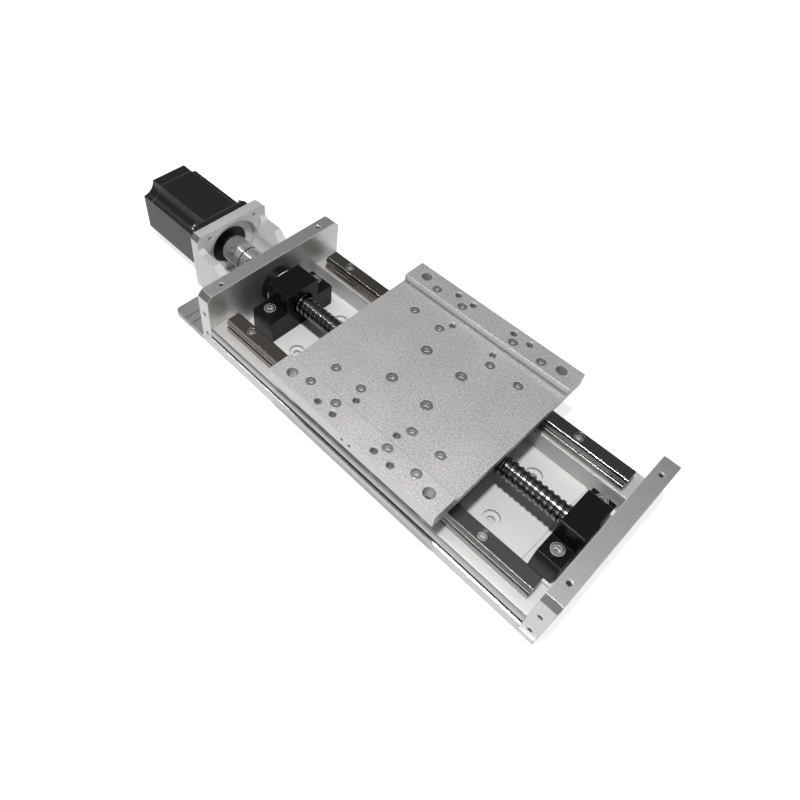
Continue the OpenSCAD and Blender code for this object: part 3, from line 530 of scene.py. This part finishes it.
def cap_finish():
    """The blackened bearing cap, with glints painted on its turned rim in places."""
    finish, tree, shader = new_finish("turned_cap", Roughness=0.26, Specular_IOR_Level=0.18)
    grain = use_group(tree, GRAIN, Cells_per_metre=95.0, Speckle=1.0, Cloud=0.4)
    axes = split_axes(tree, place_on_part(tree))
    low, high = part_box("fixed_support_cap")
    outer_radius = (high.z - low.z) / 2
    housing_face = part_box("fixed_support_housing")[0].x

    height = arithmetic(tree, "SUBTRACT", axes["Z"], (low.z + high.z) / 2)
    squares = [arithmetic(tree, "POWER", share, 2.0) for share in (height, axes["Y"])]
    radius = arithmetic(tree, "SQRT", arithmetic(tree, "ADD", *squares))
    on_rim = reading(tree, radius, *(outer_radius - inset for inset in CAP_RIM))
    at_front = reading(tree, axes["X"], *(housing_face - distance for distance in CAP_FRONT))
    painted_glint = reading(tree, grain["Shade"], *CAP_GLINT_PATCHES)
    glint_on_rim = arithmetic(tree, "MULTIPLY", arithmetic(tree, "MULTIPLY", on_rim, at_front), painted_glint)
    base = blend(tree, grain["Shade"], (0.005, 0.0045, 0.006), (0.008, 0.007, 0.009))
    # painted highlight: the rim's glints are a near white colour
    set_inputs(shader, Base_Color=blend(tree, glint_on_rim, base, (0.9, 0.9, 0.9)))
    return finish


# one finish for each material slot of the record
FINISHES = {
    "extruded_aluminium": extruded_finish(),
    # the end plates: edges painted bright as highlight and wear, 45 degree corners painted dark as shade
    "blasted_aluminium": grained_metal(
        "blasted_aluminium", grey(0.42), grey(0.74), roughness=0.38, cells=1100.0, speckle=1.2, cloud=0.5,
        relief=0.12 * MM, edge_gain=9.0, edge_width=0.9 * MM, metallic=0.85, recess=0.3,
        cut_corners=(0.3, grey(0.2)),
    ),
    # the bracket: faces along X painted lighter as light, level faces and 45 degree corners painted darker
    # as shade
    "cast_aluminium": grained_metal(
        "cast_aluminium", grey(0.72), grey(0.98), roughness=0.42, cells=900.0, speckle=1.0, cloud=0.5,
        relief=0.10 * MM, edge_gain=4.0, metallic=0.12, recess=0.6,
        faces={"X": (pale(0.85), pale(1.0)), "Z": (pale(0.38), pale(0.74))}, cut_corners=(0.9, pale(0.4)),
    ),
    "polished_aluminium": lined_metal(
        "polished_aluminium", grey(0.62), grey(0.82), roughness=0.2, strength=0.3, relief=0.005 * MM,
        edge_gain=1.5, metallic=0.85,
    ),
    "rail_steel": rail_finish(),
    "block_steel": lined_metal(
        "block_steel", grey(0.30), grey(0.42), roughness=0.28, strength=0.5, relief=0.02 * MM,
        edge_gain=4.0, metallic=1.0,
    ),
    "bearing_steel": plain_finish("bearing_steel", grey(0.6), roughness=0.18, metallic=1.0),
    "screw_steel": screw_head_finish(),
    "black_oxide": blackened_finish(
        "black_oxide", (0.0065, 0.0057, 0.0075), roughness=0.26, sheen_level=0.18
    ),
    "motor_black": blackened_finish(
        "motor_black", (0.0125, 0.0123, 0.0135), roughness=0.34, sheen_level=0.4, painted_glint=0.22,
        edge_width=1.2 * MM,
    ),
    "green_plastic": plain_finish("green_plastic", (0.09, 0.12, 0.10), roughness=0.4),
    "wiper_plastic": plain_finish("wiper_plastic", (0.8, 0.8, 0.76), roughness=0.5),
    "insert_plastic": plain_finish("insert_plastic", (0.03, 0.03, 0.032), roughness=0.5),
    "brass": plain_finish("brass", (0.72, 0.52, 0.22), roughness=0.28, metallic=1.0),
}

# parts that look unlike the rest of their slot
OWN_FINISHES = {
    "table_plate": grained_metal(
        "blasted_table", (0.32, 0.31, 0.307), (0.84, 0.815, 0.807), roughness=0.5, cells=760.0, speckle=1.9,
        cloud=0.3, relief=0.16 * MM, edge_gain=6.0, metallic=0.6, faces={"Y": (pale(0.64), pale(0.70))},
    ),
    "fixed_support_cap": cap_finish(),
}


def dress_nodes():
    """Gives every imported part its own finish, or the finish of its slot in the record."""
    for part in frame["record"]["subparts"]:
        finish = OWN_FINISHES.get(part["node"], FINISHES[part["material_slot"]])
        slots = frame["nodes"][part["node"]].data.materials
        slots.clear()
        slots.append(finish)


dress_nodes()


# ---------------------------------------------------------------- ball screw

SCREW_LEAD = 5.0 * MM
SCREW_RADIUS = 8.0 * MM
TRACK_DEPTH = 0.95 * MM
TRACK_WIDTH = 2.5 * MM
TRACK_EDGE_DROP = 0.1 * MM
LAND_EDGE = 0.05 * MM
TRACK_STEPS = 8
STEPS_PER_TURN = 48
SEAT_RADIUS = 6.0 * MM
JOURNAL_RADIUS = 5.0 * MM
ROOT_RADIUS = 6.9 * MM
JOURNAL_CHAMFER = 0.6 * MM
# how far the thread runs into each support's housing, and the seat out of the fixed one's back
THREAD_IN_FIXED = 2.0 * MM
THREAD_IN_FLOATING = 3.0 * MM
SEAT_BEHIND = 1.0 * MM
# how far the turned journals run on under the thread
ROOT_OVERLAP = 0.5 * MM
# edges that turn more than this stay sharp, and shorter ones than this are dissolved
SMOOTH_BELOW = math.radians(28.0)
SHORTEST_EDGE = 0.002 * MM


def thread_profile():
    """(offset along the screw, radius) points of one turn: half a land, the ball track, half a land."""
    half_land = (SCREW_LEAD - TRACK_WIDTH) / 2
    points = [(0.0, SCREW_RADIUS), (half_land - LAND_EDGE, SCREW_RADIUS)]
    for step in range(TRACK_STEPS + 1):
        angle = math.pi * step / TRACK_STEPS
        points.append((
            half_land + TRACK_WIDTH * (1 - math.cos(angle)) / 2,
            SCREW_RADIUS - TRACK_EDGE_DROP - TRACK_DEPTH * math.sin(angle),
        ))
    points.append((SCREW_LEAD - half_land + LAND_EDGE, SCREW_RADIUS))
    return points


def threaded_rod(start, end, axis_height):
    """Points and faces of a right-hand ball thread from x = start to x = end."""
    profile = thread_profile()
    width = len(profile)
    last_step = (math.ceil((end - start) / SCREW_LEAD) + 2) * STEPS_PER_TURN
    points = []
    for step in range(last_step + 1):
        angle = 2 * math.pi * step / STEPS_PER_TURN
        advance = start - SCREW_LEAD + SCREW_LEAD * step / STEPS_PER_TURN
        for offset, radius in profile:
            x = min(max(advance + offset, start), end)
            points.append((x, -radius * math.sin(angle), axis_height + radius * math.cos(angle)))
    faces = []
    for step in range(last_step):
        for column in range(width - 1):
            near = step * width + column
            faces.append((near, near + 1, near + width + 1, near + width))
        # the last point of this turn meets the first point of the next one
        last = step * width + width - 1
        following = (step + STEPS_PER_TURN) * width
        if following + width < len(points):
            faces.append((last, following, following + width, last + width))
    return points, faces


def turned_rod(steps, axis_height):
    """Points and faces of a turned rod along X. steps is a list of (x, radius)."""
    sides = STEPS_PER_TURN
    points = []
    for x, radius in steps:
        for side in range(sides):
            angle = 2 * math.pi * side / sides
            points.append((x, radius * math.sin(angle), axis_height + radius * math.cos(angle)))
    faces = []
    for ring in range(len(steps) - 1):
        for side in range(sides):
            here = ring * sides + side
            beside = ring * sides + (side + 1) % sides
            faces.append((here, beside, beside + sides, here + sides))
    faces.append(tuple(range(sides)))
    faces.append(tuple(reversed(range((len(steps) - 1) * sides, len(steps) * sides))))
    return points, faces


def mesh_piece(name, points, faces, finish):
    """A mesh object with that finish."""
    mesh = bpy.data.meshes.new(name)
    mesh.from_pydata(points, [], faces)
    mesh.materials.append(finish)
    piece = bpy.data.objects.new(name, mesh)
    bpy.context.scene.collection.objects.link(piece)
    return piece


def ball_screw():
    """The screw with its ball thread between the supports and its turned journals."""
    low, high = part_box("ball_screw")
    axis_height = (low.z + high.z) / 2
    fixed_back, fixed_front = (corner.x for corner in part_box("fixed_support_housing"))
    thread_start = fixed_front - THREAD_IN_FIXED
    thread_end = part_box("floating_support_housing")[0].x + THREAD_IN_FLOATING
    seat_start = fixed_back - SEAT_BEHIND
    chamfered = JOURNAL_RADIUS - JOURNAL_CHAMFER
    motor_journal = [
        (low.x, chamfered), (low.x + JOURNAL_CHAMFER, JOURNAL_RADIUS), (seat_start, JOURNAL_RADIUS),
        (seat_start, SEAT_RADIUS), (thread_start, SEAT_RADIUS), (thread_start, ROOT_RADIUS),
        (thread_start + ROOT_OVERLAP, ROOT_RADIUS),
    ]
    free_journal = [
        (thread_end - ROOT_OVERLAP, ROOT_RADIUS), (thread_end, ROOT_RADIUS), (thread_end, JOURNAL_RADIUS),
        (high.x - JOURNAL_CHAMFER, JOURNAL_RADIUS), (high.x, chamfered),
    ]
    points, faces = threaded_rod(thread_start, thread_end, axis_height)
    for steps in (motor_journal, free_journal):
        more_points, more_faces = turned_rod(steps, axis_height)
        first = len(points)
        points += more_points
        faces += [tuple(corner + first for corner in face) for face in more_faces]
    finish = plain_finish("ball_screw_steel", (0.14, 0.138, 0.135), roughness=0.2, metallic=1.0)
    piece = mesh_piece("ball_screw_thread", points, faces, finish)
    for face in piece.data.polygons:
        face.use_smooth = True
    piece.data.set_sharp_from_angle(angle=SMOOTH_BELOW)
    # the turns cut off flat at both ends leave faces without area
    rod = bmesh.new()
    rod.from_mesh(piece.data)
    bmesh.ops.dissolve_degenerate(rod, dist=SHORTEST_EDGE, edges=rod.edges)
    rod.to_mesh(piece.data)
    rod.free()
    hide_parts("ball_screw")
    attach(piece, "screw_line")


ball_screw()


# ---------------------------------------------------------------- floor, light and camera

WIDE_FLOOR = 8.0
FLOOR_HEIGHT = -0.3 * MM
PATCH_HEIGHT = -0.2 * MM
PATCH_INSET = 4.0 * MM
# the floor's own light as the camera sees it, near the module and far from it, and as metal reflects it
NEAR_GLOW, FAR_GLOW = 0.78, 1.0
GLOW_DISTANCES = (0.35, 1.6)
REFLECTED_GLOW = 0.45


def level_plane(name, centre_x, height, width, depth, finish):
    """A flat, level rectangle of that finish."""
    x, y = width / 2, depth / 2
    corners = [(-x, -y, 0.0), (x, -y, 0.0), (x, y, 0.0), (-x, y, 0.0)]
    plane = mesh_piece(name, corners, [(0, 1, 2, 3)], finish)
    plane.location = (centre_x, 0.0, height)
    return plane


def matt_finish(name, lightness):
    """A matt neutral surface. Returns the material, its tree and the shader."""
    colour = (lightness, lightness, lightness)
    return new_finish(name, Base_Color=colour, Roughness=0.9, Specular_IOR_Level=0.1)


def pale_floor():
    """A wide white floor: white to the camera and in reflections, with the module's soft shadow."""
    finish, tree, shader = matt_finish("floor", 0.8)
    ray = add_node(tree, "ShaderNodeLightPath").outputs
    from_module = vector_arithmetic(tree, "LENGTH", place_on_part(tree)).outputs["Value"]
    whiter = graded(tree, reading(tree, from_module, *GLOW_DISTANCES), NEAR_GLOW, FAR_GLOW)
    to_camera = arithmetic(tree, "MULTIPLY", ray["Is Camera Ray"], whiter)
    glow = arithmetic(tree, "MULTIPLY_ADD", ray["Is Glossy Ray"], REFLECTED_GLOW, to_camera)
    set_inputs(shader, Emission_Color=WHITE, Emission_Strength=glow)
    floor = level_plane("floor", 0.0, FLOOR_HEIGHT, WIDE_FLOOR, WIDE_FLOOR, finish)


def floor_under_base():
    """The floor seen down the holes of the base: plain and unlit, where the white floor would glow."""
    low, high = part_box("base_profile")
    length, depth = high.x - low.x - PATCH_INSET, high.y - low.y - PATCH_INSET
    finish = matt_finish("floor_under_base", 0.7)[0]
    patch = level_plane("floor_under_base", (low.x + high.x) / 2, PATCH_HEIGHT, length, depth, finish)


def blend_shaders(tree, factor, first, second):
    """The first shader where factor is 0 and the second where it is 1."""
    return fill_inputs(add_node(tree, "ShaderNodeMixShader"), (factor, first, second)).outputs[0]


def backdrop(tree, colour, strength):
    """A world light of that colour."""
    return set_inputs(add_node(tree, "ShaderNodeBackground"), Color=colour, Strength=strength).outputs[0]


# the light that metal sees, from the horizon up to the zenith
CEILING = [
    (0.02, (0.45, 0.45, 0.45)), (0.20, (0.12, 0.12, 0.123)), (0.80, (0.20, 0.20, 0.205)),
    (0.93, (0.75, 0.75, 0.75)),
]
AMBIENT = 0.03


def soft_world():
    """White to the camera; in the metal a bright horizon under a dimmer ceiling; even light on the rest."""
    world = bpy.data.worlds.new("studio")
    bpy.context.scene.world = world
    world.use_nodes = True
    tree = world.node_tree
    tree.nodes.clear()
    ray = add_node(tree, "ShaderNodeLightPath").outputs
    direction = add_node(tree, "ShaderNodeTexCoord").outputs["Generated"]
    ceiling = backdrop(tree, colour_ramp(tree, split_axes(tree, direction)["Z"], CEILING), strength=1.0)
    ambient = backdrop(tree, WHITE, strength=AMBIENT)
    white = backdrop(tree, WHITE, strength=1.0)
    on_module = blend_shaders(tree, ray["Is Glossy Ray"], ambient, ceiling)
    straight = arithmetic(tree, "MAXIMUM", ray["Is Camera Ray"], ray["Is Transmission Ray"])
    whole = blend_shaders(tree, straight, on_module, white)
    set_inputs(add_node(tree, "ShaderNodeOutputWorld"), Surface=whole)


# name: place, aim, length along the module, depth across it, watts
LAMPS = {
    "overhead": ((0.08, -0.226, 1.0), (0.03, 0.0, 0.0), 0.06, 0.06, 6.5),
    "tube": ((-0.45, -0.226, 1.0), (-0.45, 0.0, 0.0), 1.5, 0.02, 3.0),
    "front": ((0.0, -1.2, 0.6), (0.0, 0.0, 0.03), 0.6, 0.5, 1.8),
}


def soft_lamp(name, place, aim, length, depth, watts):
    """A soft lamp at place that points at aim."""
    lamp = bpy.data.lights.new(name, "AREA")
    lamp.shape = "RECTANGLE"
    lamp.size, lamp.size_y = length, depth
    lamp.energy = watts
    holder = bpy.data.objects.new(name, lamp)
    bpy.context.scene.collection.objects.link(holder)
    holder.location = place
    holder.rotation_euler = (Vector(aim) - Vector(place)).to_track_quat("-Z", "Y").to_euler()


# sensor and lens in millimetres, the shift as a share of the sensor's width
SENSOR_WIDTH = 36.0
LENS = 30.7
LENS_SHIFT = (0.1035, -0.0525)
NEAREST = 10.0 * MM
CAMERA_PLACE = (0.1698, -0.2762, 0.4588)
# degrees about X, Y and Z
CAMERA_TILT = (38.885, -1.416, 46.956)


def camera():
    """A wide lens close above the free end, looking down along the module."""
    eye = bpy.data.cameras.new("camera")
    eye.sensor_width = SENSOR_WIDTH
    eye.lens = LENS
    eye.shift_x, eye.shift_y = LENS_SHIFT
    eye.clip_start = NEAREST
    holder = bpy.data.objects.new("camera", eye)
    bpy.context.scene.collection.objects.link(holder)
    holder.location = CAMERA_PLACE
    holder.rotation_euler = Euler([math.radians(turn) for turn in CAMERA_TILT], "XYZ")
    bpy.context.scene.camera = holder


pale_floor()
floor_under_base()
soft_world()
for name, setting in LAMPS.items():
    soft_lamp(name, *setting)
camera()

bpy.context.scene.view_settings.view_transform = "Standard"
